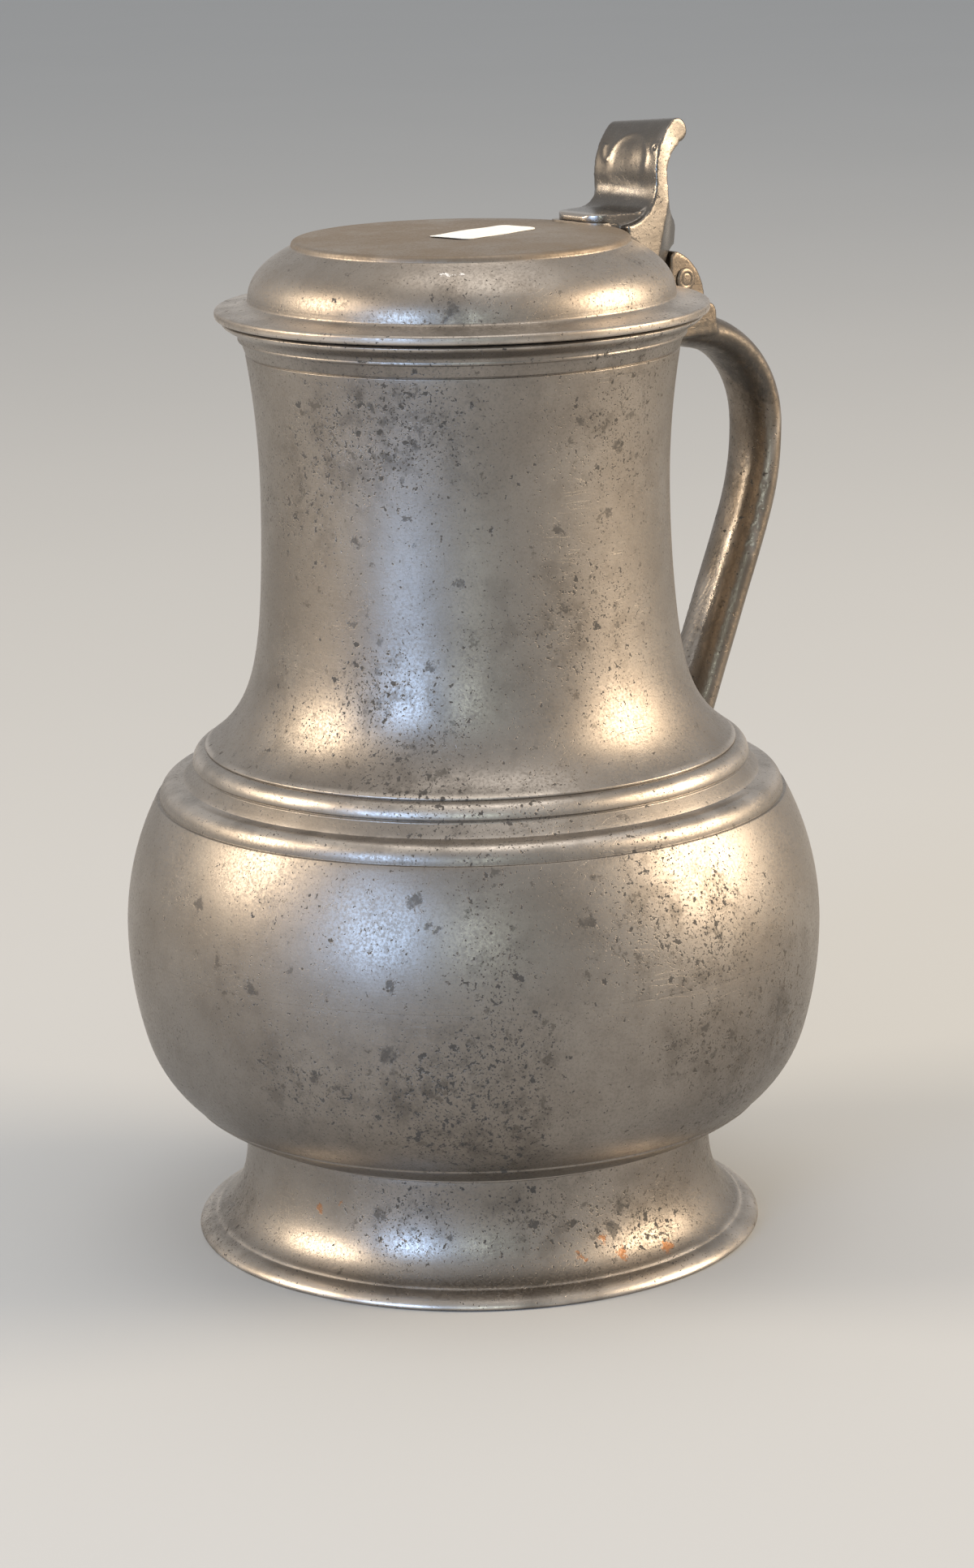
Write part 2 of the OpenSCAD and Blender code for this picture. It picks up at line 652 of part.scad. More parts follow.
module thumbpiece() {
    color("burlywood") difference() {
        union() {
            difference() {
                union() {
                    leaned() difference() {
                        across(thumb_w) polygon(blade_side);
                        for (side = [0, 1]) mirror([0, side, 0])
                            translate([back_x, -thumb_w / 2, blade_foot_z - taper_low])
                                rotate([taper_tilt, 0, taper_turn])
                                    translate([-thumb_w, -thumb_w, -thumb_w])
                                        cube([thumb_w * 2, thumb_w, thumb_w + taper_high]);
                    }
                    intersection() {
                        across(thumb_w) polygon(tongue_side);
                        linear_extrude(disc_z * 2) polygon(tongue_plan(0));
                    }
                }
                // Clearance over the ears, either side of the web to the knuckle
                for (side = [-1, 1])
                    translate([0, side * (knuckle_w + thumb_w) / 2, 0]) hinge_round(sweep_r, thumb_w);
            }
            hinge_round(knuckle_r, knuckle_w);
        }
        lid_block(solder_t);
        hinge_round(pin_r + pin_clear, thumb_w);
    }
}

module tongue_solder() {
    color("white") difference() {
        intersection() {
            lid_block(solder_t);
            union() {
                translate([0, 0, underside_z]) linear_extrude(dome_h * 2) polygon(tongue_plan(solder_t));
                leaned() translate([seat_centre[0], -thumb_w / 2 - solder_t, underside_z])
                    cube([dome_r, thumb_w + solder_t * 2, dome_h * 2]);
            }
        }
        lid_block(0);
    }
}

foot();
foot_solder();
belly_lower();
bottom_disc();
belly_upper();
neck();
handle();
handle_top_solder();
handle_foot_solder();
hinge_pin();
pin_caps();
lid();
lid_bezel();
thumbpiece();
tongue_solder();
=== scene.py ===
"""Looks of a lidded pewter flagon: turned and soldered body, cast handle, hinged lid with a thumbpiece.

Outlines are in millimetres as (radius, height) pairs. The turning axis is X = Y = 0 and the handle lies along +X.
"""

import bmesh
import bpy
import numpy as np
from mathutils import Matrix, Vector


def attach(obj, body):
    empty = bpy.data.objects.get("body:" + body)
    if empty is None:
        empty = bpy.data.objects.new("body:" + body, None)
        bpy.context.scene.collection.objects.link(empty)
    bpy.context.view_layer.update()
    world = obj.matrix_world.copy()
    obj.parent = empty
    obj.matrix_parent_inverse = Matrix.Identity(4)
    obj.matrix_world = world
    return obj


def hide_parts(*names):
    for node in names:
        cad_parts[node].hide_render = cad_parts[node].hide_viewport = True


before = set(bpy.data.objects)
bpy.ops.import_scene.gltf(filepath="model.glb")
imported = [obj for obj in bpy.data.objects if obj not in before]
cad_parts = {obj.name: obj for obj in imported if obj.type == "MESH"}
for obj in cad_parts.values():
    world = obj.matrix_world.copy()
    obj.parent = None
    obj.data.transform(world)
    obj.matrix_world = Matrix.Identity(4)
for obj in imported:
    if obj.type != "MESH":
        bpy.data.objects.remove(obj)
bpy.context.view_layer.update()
scene = bpy.context.scene
mm = 0.001

# Camera
# It stands where the photographer stood: a metre in front, a little above the lid,
# with the handle 40 degrees round to the right. The lens is given in pixels of the 1932 pixel high photograph.
photo_height, sensor_height, lens_px = 1932, 36, 5296.3
eye_back, eye_height = 1029.1, 362.2
yaw, pitch, roll = np.radians([0.221, 13.686, 1.063])
handle_round = np.radians(-40)
forward = np.array([np.sin(yaw) * np.cos(pitch), np.cos(yaw) * np.cos(pitch), -np.sin(pitch)])
level = np.array([np.cos(yaw), -np.sin(yaw), 0])
down = np.cross(forward, level)
right = np.cos(roll) * level + np.sin(roll) * down
up = np.sin(roll) * level - np.cos(roll) * down
turn = Matrix.Rotation(handle_round, 4, "Z")
view_axes = Matrix(np.stack([right, up, -forward], axis=1).tolist())
eye = Vector((0, -eye_back * mm, eye_height * mm))
camera = bpy.data.objects.new("camera", bpy.data.cameras.new("camera"))
camera.data.sensor_fit = "VERTICAL"
camera.data.sensor_height = sensor_height
camera.data.lens = lens_px / photo_height * sensor_height
camera.data.clip_start, camera.data.clip_end = 0.05, 60
camera.matrix_world = turn @ Matrix.LocRotScale(eye, view_axes, None)
scene.collection.objects.link(camera)
scene.camera = camera


# Studio
# A pale floor sheet in a pale room that is dimmer in front, a warm soft lamp on either side, a broad one overhead,
# and a small cool window and a narrow one in front, as the photograph's reflections show.
class Finish:
    """One output of a material's nodes. Arithmetic on it adds Math nodes to that material."""

    def __init__(self, material, socket=None):
        self.material, self.socket = material, socket

    def node(self, kind, settings=None, inputs=None, out=0):
        """Adds a node: first its settings, then the values or links of its sockets."""
        made = self.material.node_tree.nodes.new("ShaderNode" + kind)
        for key, value in (settings or {}).items():
            setattr(made, key, value)
        for key, value in (inputs or {}).items():
            if isinstance(value, Finish):
                self.material.node_tree.links.new(value.socket, made.inputs[key])
            else:
                made.inputs[key].default_value = value
        return Finish(self.material, made.outputs[out])

    def math(self, operation, *values):
        return self.node("Math", {"operation": operation}, dict(enumerate(values)))

    def __add__(self, other):
        return self.math("ADD", self, other)

    def __sub__(self, other):
        return self.math("SUBTRACT", self, other)

    def __rsub__(self, other):
        return self.math("SUBTRACT", other, self)

    def __mul__(self, other):
        return self.math("MULTIPLY", self, other)

    __radd__ = __add__

    def step(self, start, stop):
        """Rises smoothly from 0 to 1 as this goes from start to stop, or falls where stop is the lower."""
        low, high = min(start, stop), max(start, stop)
        ends = {"To Min": 0.0, "To Max": 1.0} if start < stop else {"To Min": 1.0, "To Max": 0.0}
        return self.node("MapRange", {"interpolation_type": "SMOOTHSTEP"},
                         {"Value": self, "From Min": low, "From Max": high, **ends})

    def mix(self, nothing, full):
        """Colour between two others, this being the share of the second."""
        return self.node("Mix", {"data_type": "RGBA"}, {0: self, 6: nothing, 7: full}, out=2)

    def noise(self, scale, detail=3.0, roughness=0.55, out=0):
        return self.node("TexNoise", {}, {"Vector": self, "Scale": scale, "Detail": detail,
                                          "Roughness": roughness}, out)

    def near(self, place, outer, inner):
        """Rises from 0 to 1 as this comes from an outer to an inner distance of a place, all in millimetres."""
        away = self.node("VectorMath", {"operation": "DISTANCE"}, {0: self, 1: [v * mm for v in place]}, "Value")
        return away.step(outer * mm, inner * mm)

    def output(self, name):
        """Another output of the same node."""
        return Finish(self.material, self.socket.node.outputs[name])


def new_finish(name):
    """An empty material: its shader, and the place on the piece that its patterns read."""
    material = bpy.data.materials.new(name)
    material.use_nodes = True
    shader = material.node_tree.nodes["Principled BSDF"]
    here = Finish(material).node("TexCoord", out="Object")
    return shader, here


def feed(shader, **inputs):
    """Sets or links the shader's sockets; an underscore in a name stands for a space."""
    for key, value in inputs.items():
        socket = shader.inputs[key.replace("_", " ")]
        if isinstance(value, Finish):
            value.material.node_tree.links.new(value.socket, socket)
        else:
            socket.default_value = value


def grey(value, warmth=0.0):
    """A grey with a share of warmth: more red and less blue."""
    return (value * (1 + warmth), value, value * (1 - warmth), 1)


floor_half, floor_shade = 9.0, 0.42
shader, here = new_finish("studio_floor")
feed(shader, Base_Color=here.noise(3.0).mix(grey(floor_shade, -0.04), grey(floor_shade * 1.04, -0.04)), Roughness=0.85)
floor_mesh = bpy.data.meshes.new("studio_floor")
floor_mesh.from_pydata([(x * floor_half, y * floor_half, 0) for x, y in ((-1, -1), (1, -1), (1, 1), (-1, 1))],
                       [], [(0, 1, 2, 3)])
floor_mesh.materials.append(here.material)
floor = bpy.data.objects.new("studio_floor", floor_mesh)
scene.collection.objects.link(floor)

world = bpy.data.worlds.new("studio_room")
world.use_nodes = True
room_back, room_front, front_edge, front_middle = grey(0.62, 0.01), grey(0.42, -0.02), 0.7, 0.97
toward_front = [np.sin(handle_round), -np.cos(handle_round), 0]
way = Finish(world).node("TexCoord", out="Generated")
way = way.node("VectorMath", {"operation": "DOT_PRODUCT"}, {0: way, 1: toward_front}, "Value")
room = way.step(front_edge, front_middle).mix(room_back, room_front)
world.node_tree.links.new(room.socket, world.node_tree.nodes["Background"].inputs["Color"])
scene.world = world

# name, way from the flagon in the camera's right, up and back, distance, width, height, watts, colour
lamps = (
    ("lamp_left", (-0.9, 0.35, 0.22), 2.2, 0.84, 0.84, 38, (1.0, 0.82, 0.6)),
    ("lamp_right", (0.92, 0.36, 0.1), 2.2, 1.16, 1.1, 60, (1.0, 0.79, 0.55)),
    ("lamp_over", (0.05, 0.94, 0.2), 2.2, 1.8, 1.4, 14, (1.0, 0.94, 0.86)),
    ("lamp_window", (-0.53, 0.0, 0.84), 1.5, 0.5, 0.4, 9, (0.42, 0.63, 1.0)),
    ("lamp_strip", (0.02, -0.02, 1.0), 1.6, 0.08, 0.5, 1.9, (0.86, 1.0, 0.94)),
)
lamp_aim = Vector((0, 0, 130 * mm))
camera_axes = camera.matrix_world.to_3x3()
for name, way, distance, width, height, watts, colour in lamps:
    lamp = bpy.data.lights.new(name, "AREA")
    lamp.shape, lamp.size, lamp.size_y = "RECTANGLE", width, height
    lamp.energy, lamp.color = watts, colour
    away = (camera_axes @ Vector(way)).normalized()
    placed = bpy.data.objects.new(name, lamp)
    placed.location = lamp_aim + away * distance
    placed.rotation_euler = away.to_track_quat("Z", "Y").to_euler()
    scene.collection.objects.link(placed)


# Foot
# A hollow flared ring of cast pewter, turned on the lathe, with a plain band round the rim that it stands on.
# Its waist is soldered to the underside of the belly.
def oval(centre, rx, rz, start, stop, count=48):
    """Oval arc about a centre in degrees: across rx cos a, up rz sin a."""
    a = np.radians(np.linspace(start, stop, count))
    return np.stack([centre[0] + rx * np.cos(a), centre[1] + rz * np.sin(a)], axis=1)


def sweep(a, b, c, d, count=48):
    """Cubic curve from a to d that sets out towards b and arrives from c."""
    t = np.linspace(0, 1, count)[:, None]
    a, b, c, d = (np.asarray(p, float) for p in (a, b, c, d))
    return (1 - t) ** 3 * a + 3 * (1 - t) ** 2 * t * b + 3 * (1 - t) * t**2 * c + t**3 * d


def moved(path, distance):
    """A path moved sideways, to the left of the way that it runs."""
    way = np.gradient(path, axis=0)
    way /= np.hypot(*way.T)[:, None]
    return path + distance * np.stack([-way[:, 1], way[:, 0]], axis=1)


def outline(*parts):
    """Joins points and paths into one outline, without doubled points."""
    path = np.vstack([np.atleast_2d(part) for part in parts]).astype(float)
    gaps = np.hypot(*np.diff(path, axis=0).T)
    return path[np.concatenate([[True], gaps > 1e-6])]


def worn(path, edge, closed=True, flush=()):
    """Softens an outline's corners as wear does: each point becomes the bell-weighted mean of its neighbours.

    Corners named in flush stay sharp, where two pieces are joined. The points are then thinned where it runs straight.
    """
    grain, longest, sharpest = 0.08, 2.2, 0.15
    ring = np.vstack([path, path[:1]]) if closed else path
    run = np.concatenate([[0], np.cumsum(np.hypot(*np.diff(ring, axis=0).T))])
    at = np.linspace(0, run[-1], int(run[-1] / grain), endpoint=not closed)
    even = np.stack([np.interp(at, run, ring[:, k]) for k in (0, 1)], axis=1)
    reach = int(3 * edge / grain) + 1
    bell = np.exp(-0.5 * (np.arange(-reach, reach + 1) * grain / edge) ** 2)
    before, after = (even[-reach:], even[:reach]) if closed else (
        2 * even[0] - even[reach:0:-1], 2 * even[-1] - even[-2:-reach - 2:-1])
    padded = np.vstack([before, even, after])
    soft = np.stack([np.convolve(padded[:, k], bell / bell.sum(), "valid") for k in (0, 1)], axis=1)
    for corner in flush:
        kept = np.exp(-((np.hypot(*(even - corner).T) / (4 * edge)) ** 4))[:, None]
        soft = soft + (even - soft) * kept
    ring = np.vstack([soft, soft[:1]]) if closed else soft
    steps = np.diff(ring, axis=0)
    heading = np.unwrap(np.arctan2(steps[:, 1], steps[:, 0]))
    bends = np.abs(np.diff(heading, prepend=heading[:1]))
    cost = np.concatenate([[0], np.cumsum(np.hypot(*steps.T) / longest + bends / sharpest)])
    want = np.linspace(0, cost[-1], int(np.ceil(cost[-1])), endpoint=not closed)
    return np.stack([np.interp(want, cost, ring[:, k]) for k in (0, 1)], axis=1)


def knocked(grid):
    """Long use: the radius loses a slow unevenness and a few dents, each a bell: (angle, height, width, depth).

    Both fade out next to the handle and towards the axis, where other pieces are fitted.
    """
    dents = ((-2.75, 97, 15, 0.5), (-2.55, 103, 9, 0.35), (-1.35, 99, 14, 0.4), (-1.9, 56, 17, 0.3),
             (-2.1, 139, 12, 0.3), (-1.2, 136, 14, 0.35), (1.6, 84, 16, 0.6), (2.6, 150, 18, 0.4), (-2.9, 9, 9, 0.3))
    x, y, z = np.moveaxis(grid, -1, 0)
    radius, angle = np.hypot(x, y), np.arctan2(y, x)
    loss = 0.1 * (1 + np.sin(2 * angle + z / 31 + 0.6)) + 0.06 * (1 + np.sin(3 * angle - z / 17 + 2.1))
    for at, height, width, depth in dents:
        aside = np.angle(np.exp(1j * (angle - at))) * radius
        loss = loss + depth * np.exp(-(aside**2 + (z - height) ** 2) / width**2)
    loss *= (1 - np.cos(angle)) / 2 * np.clip(radius / 40, 0, 1) ** 2
    share = 1 - loss / np.maximum(radius, 1)
    return np.stack([x * share, y * share, z], axis=-1)


crease = np.radians(38)


def surface(name, grid, loop_rows=True):
    """Faces between neighbouring points of a (rows, columns, 3) grid in millimetres. Poles are merged.

    Edges that turn by more than the crease angle stay sharp.
    """
    rows, columns = grid.shape[:2]
    i, j = np.meshgrid(np.arange(rows - (not loop_rows)), np.arange(columns), indexing="ij")
    i2, j2 = (i + 1) % rows, (j + 1) % columns
    faces = np.stack([i * columns + j, i * columns + j2, i2 * columns + j2, i2 * columns + j], axis=-1)
    mesh = bpy.data.meshes.new(name)
    mesh.from_pydata((grid.reshape(-1, 3) * mm).tolist(), [], faces.reshape(-1, 4).tolist())
    if not loop_rows:
        shell = bmesh.new()
        shell.from_mesh(mesh)
        bmesh.ops.remove_doubles(shell, verts=shell.verts, dist=1e-7)
        shell.to_mesh(mesh)
        shell.free()
    mesh.shade_smooth()
    mesh.set_sharp_from_angle(angle=crease)
    return mesh


def turned(name, rings, loop=True, columns=360, wear=True):
    """Carries an outline round the axis: x = r cos a, y = r sin a. It runs up the outside and down the inside."""
    a = np.linspace(0, 2 * np.pi, columns, endpoint=False)
    radius, height = rings[:, 0, None], rings[:, 1, None]
    grid = np.stack([radius * np.cos(a), radius * np.sin(a), height + 0 * a], axis=-1)
    return surface(name, knocked(grid) if wear else grid, loop)


def fitted(mesh, finish, body, slot, *nodes):
    """Shows a mesh in a finish, riding on a body and standing for its CAD nodes."""
    piece = bpy.data.objects.new(mesh.name, mesh)
    scene.collection.objects.link(piece)
    mesh.materials.append(finish)
    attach(piece, body)
    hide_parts(*nodes)


def pewter(name, clean, stained, dark, rough=0.28, pits=1.0, spots=(), rust=(), nicks=(), places=(), rubbed=(),
           lines=(), dust=None, turning=0.5, skin=0.0, grit=1.0):
    """Old pewter: soft patches of grey, ragged stains, clusters of dark pits, fine scratches and lathe lines.

    rough is the roughness of the cleanest metal and pits the strength of the pits. turning is the strength of the
    lathe lines, skin the unevenness of a casting left unturned, grit the fine speckle.
    spots, rust and nicks list single marks (x, y, z, radius), places (x, y, z, reach) where the pits crowd,
    rubbed the rims worn bright (height, half width), and lines the bright strips (start, end, half width, strength),
    which are painted highlights and reflections, and in places edge wear.
    Dust lies above the height named dust.
    """
    stain_shade, pit_shade, spot_shade = (0.085, 0.078, 0.07, 1), (0.045, 0.041, 0.037, 1), (0.08, 0.074, 0.068, 1)
    rust_shade, nick_shade = (0.3, 0.13, 0.045, 1), grey(0.8, 0.02)
    wear_and_highlight_shade, dust_shade = grey(0.6, 0.1), grey(0.125, 0.3)
    shader, here = new_finish(name)
    patches, cloud, grain = here.noise(26, 6.0, 0.62), here.noise(8, 4.0, 0.6), here.noise(1500, 3.0, 0.65)
    colour = patches.step(0.36, 0.64).mix(clean, stained)
    colour = (cloud.step(0.48, 0.72) * 0.4).mix(colour, dark)

    crowd = here.noise(15, 3.0).step(0.47, 0.72)
    for x, y, z, reach in places:
        crowd = crowd + here.near((x, y, z), reach, 0) * 0.9
    crowd = crowd.math("MINIMUM", crowd, 1.0)
    bloom = here.noise(130, 5.0, 0.7).step(0.46, 0.66) * (crowd * 0.5 + 0.14)
    colour = bloom.mix(colour, dark)
    stains = (here.noise(230, 6.0, 0.72) + crowd * (0.07 * pits)).step(0.64, 0.67)
    colour = (stains * 0.55).mix(colour, stain_shade)
    colour = (grain.step(0.44, 0.7) * (0.3 * grit)).mix(colour, dark)

    # Pits in three sizes, fine to coarse: noise scale and detail, the level that cuts them out, how much they crowd
    marks = None
    for scale, detail, level, share in ((1700, 1.0, 0.7, 0.085), (800, 2.0, 0.7, 0.08), (400, 5.0, 0.675, 0.08)):
        mark = (here.noise(scale, detail, 0.6) + crowd * (share * pits)).step(level, level + 0.03)
        marks = mark if marks is None else marks.math("MAXIMUM", marks, mark)
    colour = (marks * 0.85).mix(colour, pit_shade)

    # Single marks, with ragged borders: the place that they read strays by up to half of this each way
    stray = 8
    ragged = here.node("VectorMath", {"operation": "MULTIPLY_ADD"},
                       {0: here.noise(300, 4.0, 0.75, out="Color"), 1: (stray * mm,) * 3, 2: here})
    broken = here.noise(620, 3.0).step(0.3, 0.52)
    for listed, shade, share in ((spots, spot_shade, 0.8), (rust, rust_shade, 0.8), (nicks, nick_shade, 0.95)):
        single = None
        for x, y, z, radius in listed:
            one = ragged.near((x + stray / 2, y + stray / 2, z + stray / 2), radius * 1.15, radius * 0.6)
            single = one if single is None else one.math("MAXIMUM", single, one)
        if listed:
            single = single * (broken * 0.5 + 0.5)
            colour = (single * share).mix(colour, shade)
            marks = marks.math("MAXIMUM", marks, single * 0.35)

    # Fine scratches, which run three ways
    scratches = None
    for turn_x, turn_y, turn_z in ((0.3, 0.5, 0.2), (1.1, 0.2, 2.0), (2.2, 1.4, 0.9)):
        along = here.node("Mapping", {}, {"Vector": here, "Rotation": (turn_x, turn_y, turn_z),
                                          "Scale": (20.0, 420.0, 420.0)})
        line = along.noise(1.0, 1.0) - 0.5
        line = line.math("ABSOLUTE", line).step(0.005, 0.0) * here.noise(40 + turn_x * 20, 1.0).step(0.56, 0.68)
        scratches = line if scratches is None else scratches + line
    colour = (scratches * 0.35).mix(colour, grey(0.1, 0.05))

    # Lathe lines, rims rubbed bright, bright lines and dust, which read the height or the distance from a line.
    # The bright lines are painted highlights and reflections, and in places edge wear.
    height = here.node("SeparateXYZ", {}, {0: here}).output("Z")
    across = here.node("VectorMath", {"operation": "MULTIPLY"}, {0: here, 1: (1, 1, 0)})
    across = here.node("VectorMath", {"operation": "LENGTH"}, {0: across}, "Value")
    lathe = here.node("TexNoise", {"noise_dimensions": "1D"}, {"W": height + across, "Scale": 1400.0, "Detail": 2.0})
    roughness = (rough + patches * 0.1 + marks * 0.25 + grain.step(0.38, 0.62) * (0.12 * grit) + bloom * 0.08
                 + lathe * (0.04 * turning))
    wear_and_highlight_bright = []
    for level_z, half in rubbed:
        gap = height - level_z * mm
        wear_and_highlight_bright.append(gap.math("ABSOLUTE", gap).step(half * mm, 0) * here.noise(60, 3.0).step(0.3, 0.6) * 0.6)
    # Bright lines along a path: painted highlights and reflections, and in places edge wear
    for start, end, half, strength in lines:
        start, end = Vector(start) * mm, Vector(end) * mm
        half_long = (end - start).length / 2 / mm
        off = here.node("VectorMath", {"operation": "SUBTRACT"}, {0: here, 1: start})
        beside = here.node("VectorMath", {"operation": "CROSS_PRODUCT"}, {0: off, 1: (end - start).normalized()})
        beside = here.node("VectorMath", {"operation": "LENGTH"}, {0: beside}, "Value")
        within = here.near((start + end) / 2 / mm, half_long + 3, half_long - 3)
        wear_and_highlight_bright.append(beside.step(half * mm, 0) * within * here.noise(90, 3.0).step(0.25, 0.5) * strength)
    for bright in wear_and_highlight_bright:
        bright = bright * (1 - marks)
        colour = bright.mix(colour, wear_and_highlight_shade)
        roughness = roughness - bright * 0.08
    metal = 1 - marks * 0.55
    if dust is not None:
        film = height.step((dust - 0.5) * mm, dust * mm) * (here.noise(45, 5.0, 0.65).step(0.32, 0.62) * 0.45 + 0.5)
        colour = film.mix(colour, dust_shade)
        roughness, metal = roughness + film * 0.16, metal - film * 0.45
    relief = (lathe * (0.12 * turning) + grain * (0.2 * grit) + patches * 0.6 - marks * 0.7 - scratches * 0.2
              + here.noise(330, 3.0) * (skin * 1.4))
    bump = here.node("Bump", {}, {"Height": relief, "Strength": 0.35, "Distance": 0.0003})
    feed(shader, Base_Color=colour, Roughness=roughness, Metallic=metal, Normal=bump)
    return here.material


foot_r, rim_h, waist_r, foot_h, foot_wall = 70.3, 3.9, 57.8, 28.05, 2.2
rim_line = np.array([66.2, rim_h])
flare = sweep(rim_line + [-0.45, 0.45], (61.2, 6.56), (waist_r, 12.59), (waist_r, 24.19))
foot_outline = outline(
    (64.3, 0), (69.7, 0), sweep((foot_r, 0.6), (foot_r, 1.95), rim_line + [2.05, -0.6], rim_line),
    flare, (waist_r, foot_h), (waist_r - foot_wall, foot_h), moved(flare, foot_wall)[::-1])
body_greys = (grey(0.285, 0.09), grey(0.225, 0.11), grey(0.11, 0.11))
foot_finish = pewter(
    "foot_pewter", *body_greys, rubbed=((0.8, 1.6), (2.7, 1.9), (4.2, 0.7)),
    places=((-49, -31, 19, 22), (-27, -52, 18, 18), (-6, -59, 14, 22)),
    spots=((-52.2, -25.8, 18.9, 1.8), (-7.7, -59, 13.5, 2.2), (-4.3, -58.2, 18.1, 2.4), (-27.2, -51.8, 17.5, 1),
           (-43, -40, 15, 1.3), (-18, -55, 16, 1.2)),
    rust=((-11.3, -59.3, 11.8, 1.2), (-7.3, -62, 7.6, 1.7), (6.2, -63.2, 6.5, 2), (-17.2, -59.4, 8.8, 1.2),
          (4.6, -60.6, 10.9, 0.6), (-57.8, -8.4, 17.9, 1.3), (-56.1, -14.8, 19.7, 1.1), (-55.2, -20.7, 15.3, 0.7),
          (-51, -30.9, 13.2, 1)))
fitted(turned("turned_foot", worn(foot_outline, 0.14, flush=[(waist_r - foot_wall, foot_h)])),
       foot_finish, "vessel", "pewter_body", "foot")

# Solder round the waist
# A thin ring of solder between foot and belly, turned flush after the two were joined.
# It shows as a pale line under the belly.
belly_r, belly_z, belly_wall = 85.7, 78, 2.3
side_curve, side_drop, turn_curve, under_line_r = 95, 26, 33, 71
side_angle = np.arcsin(side_drop / side_curve)
side_centre = np.array([belly_r - side_curve, belly_z])
turn_centre = side_centre + (side_curve - turn_curve) * np.array([np.cos(side_angle), -np.sin(side_angle)])


def turn_at(distance, curve):
    """Angle, in degrees, at which a curve about the lower turn's centre stands at a distance from the axis."""
    return -np.degrees(np.arccos((distance - turn_centre[0]) / curve))


waist_joint_r, solder_t, bottom_r = 59.1, 0.4, 50
under_joint = oval(turn_centre, turn_curve, turn_curve, turn_at(waist_r - foot_wall, turn_curve),
                   turn_at(waist_joint_r, turn_curve), 16)
solder_outline = outline((waist_r - foot_wall, foot_h), (waist_r + solder_t, foot_h),
                         (waist_joint_r, foot_h + solder_t), under_joint[::-1])
solder_finish = pewter("solder_grey", grey(0.36, 0.08), grey(0.3, 0.1), grey(0.16, 0.1), pits=0.6)
fitted(turned("waist_solder", worn(solder_outline, 0.08)), solder_finish, "vessel", "solder", "foot_solder")

# Lower half of the belly
# A cast pewter bowl turned inside and out, with a fine raised band and a turned line where it nears the waist.
# It meets the upper half at the widest line, where the joint has been turned away.
under_band = 0.35
band_curve = turn_curve + under_band
lap, lap_r = 3, belly_r - belly_wall / 2
side_degrees = -np.degrees(side_angle)
lower_outline = outline(
    oval(turn_centre, turn_curve, turn_curve, turn_at(bottom_r, turn_curve), turn_at(waist_joint_r, turn_curve)),
    oval(turn_centre, band_curve, band_curve, turn_at(waist_joint_r, band_curve), turn_at(under_line_r, band_curve)),
    oval(turn_centre, turn_curve, turn_curve, turn_at(under_line_r, turn_curve), side_degrees),
    oval(side_centre, side_curve, side_curve, side_degrees, 0),
    (lap_r, belly_z), (lap_r, belly_z - lap), (belly_r - belly_wall, belly_z - lap))
inside = outline(
    oval(turn_centre, turn_curve - belly_wall, turn_curve - belly_wall,
         turn_at(bottom_r, turn_curve - belly_wall), side_degrees),
    oval(side_centre, side_curve - belly_wall, side_curve - belly_wall, side_degrees, 0))
lower_outline = outline(lower_outline, inside[inside[:, 1] < belly_z - lap][::-1])
belly_finish = pewter(
    "belly_pewter", *body_greys,
    places=((-62, -55, 56, 30), (-77, -28, 56, 22), (-45, -62, 48, 26), (-50, -68, 68, 22), (-4, -84, 66, 20)),
    spots=((-76, -33.4, 60.5, 2), (-53.8, -61.6, 56.8, 1.6), (-55.3, -54.7, 49.4, 2.6), (-68.4, -50.5, 68, 2.4),
           (-1.7, -85, 67.3, 1.6), (-77.9, -5, 49.7, 1.8), (-76, -20, 50.8, 1.9), (-73.1, -38, 58.3, 1.7)),
    rust=((-20, -80, 60, 0.8), (-36, -72, 55, 0.7)))
fitted(turned("belly_bowl", worn(lower_outline, 0.12, flush=[(belly_r, belly_z)])),
       belly_finish, "vessel", "pewter_body", "belly_lower")

# Bottom disc
# A flat cast pewter disc, turned in rings and soldered into the hole in the belly's underside.
# It shows only inside the foot.
disc_low, disc_t = lower_outline[0][1], 2.4
ring_deep, ring_apart, plain_edge = 0.12, 7, 4
ring_r = np.linspace(0, bottom_r, 300)
ring_cut = ring_deep * (1 - np.cos(ring_r / ring_apart * 2 * np.pi)) ** 3 / 8 * (ring_r < bottom_r - plain_edge)
under_side = np.stack([ring_r, disc_low + ring_cut], axis=1)
disc_outline = outline(under_side, (bottom_r, disc_low + disc_t), (0, disc_low + disc_t))
bottom_finish = pewter("bottom_pewter", grey(0.34, 0.08), grey(0.26, 0.12), grey(0.13, 0.1), rough=0.36, turning=1.5)
fitted(turned("bottom_plate", worn(disc_outline, 0.1, closed=False), loop=False), bottom_finish,
       "vessel", "pewter_body", "bottom_disc")

# Upper half of the belly and its shoulder
# Cast pewter, soldered to the bowl, with the shoulder mouldings turned on it:
# a round band, a hollow, a cut groove and a second round band.
top_curve, top_h = 70, 32.9
top_centre = np.array([belly_r - top_curve, belly_z])
top_end = top_centre + [np.sqrt(top_curve**2 - top_h**2), top_h]
shoulder_z = top_end[1]
band_top = top_end + [-4.7, 4.6]
hollow_end = band_top + [-4.4, 3.4]
joint = hollow_end + [-3.6, 4.6]
neck_r, neck_waist_h, neck_wall = 49.6, 62.5, 2.2
neck_foot_r, neck_edge = joint[0] + 0.4, 0.5
neck_low = joint[1] + neck_edge


def neck_out(height):
    """Neck radius: a square law and a sharp power law below its waist, a square law above."""
    waist_z = joint[1] + neck_waist_h
    low = (waist_z - height) / (neck_waist_h - neck_edge)
    high = (height - waist_z) / 33.5
    flare_out = neck_foot_r - neck_r - 5.9
    return neck_r + np.where(height < waist_z, 5.9 * low**2 + flare_out * np.abs(low) ** 8, 2.8 * high**2)


